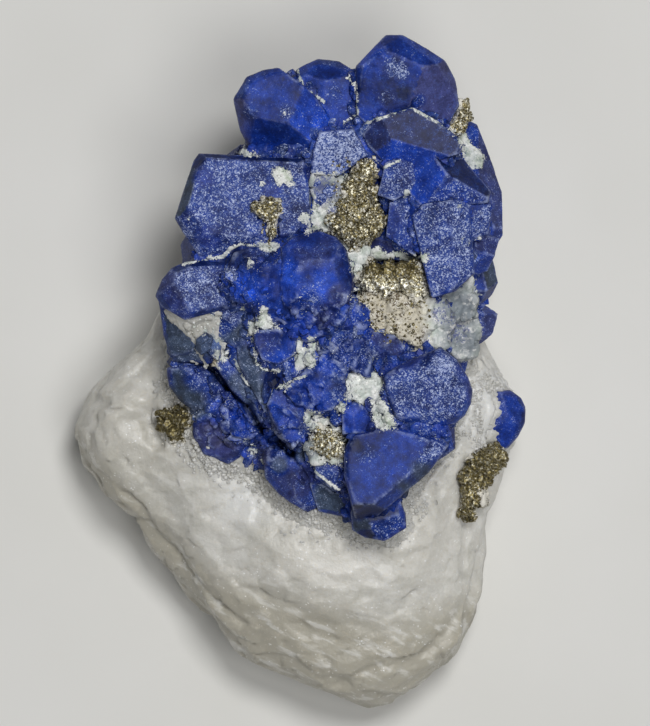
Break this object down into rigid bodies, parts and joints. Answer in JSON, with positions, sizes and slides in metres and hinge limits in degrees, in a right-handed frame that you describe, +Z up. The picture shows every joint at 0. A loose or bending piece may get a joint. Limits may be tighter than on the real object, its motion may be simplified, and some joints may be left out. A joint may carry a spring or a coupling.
{
  "type": "lapis lazuli mineral specimen",
  "caption": "Cluster of deep blue lazurite crystals with brassy pyrite and white calcite on a rounded lump of white marble, lying on its flat back",
  "frame": {"origin": "on the flat broken back of the marble, under the middle of the specimen's face", "axes": "+Z up from the flat back to the crystals, +Y towards the free end of the crystal column, +X to the right of it"},
  "size_m": [0.0611, 0.0907, 0.0416],
  "materials": {
    "white_marble": "white, sugary, slightly translucent calcite marble, broken surface",
    "lazurite": "deep blue crystal faces, some smooth and some frosted with fine white speckle",
    "pyrite": "granular brassy metal lustre with dark pits"
  },
  "bodies": {
    "root": {"marble_matrix": "white_marble", "lazurite_cluster": "lazurite", "lazurite_right_ridge": "lazurite", "lazurite_top_crystal": "lazurite", "lazurite_upper_left": "lazurite", "lazurite_left_block": "lazurite", "lazurite_frosted_crystal": "lazurite", "lazurite_lower_left": "lazurite", "lazurite_lower_band": "lazurite", "lazurite_right_small": "lazurite", "lazurite_edge_crystal": "lazurite", "pyrite_upper": "pyrite", "pyrite_centre": "pyrite", "pyrite_on_face": "pyrite", "pyrite_lower": "pyrite", "pyrite_left": "pyrite", "pyrite_right": "pyrite", "pyrite_top_right": "pyrite"}
  },
  "joints": []
}
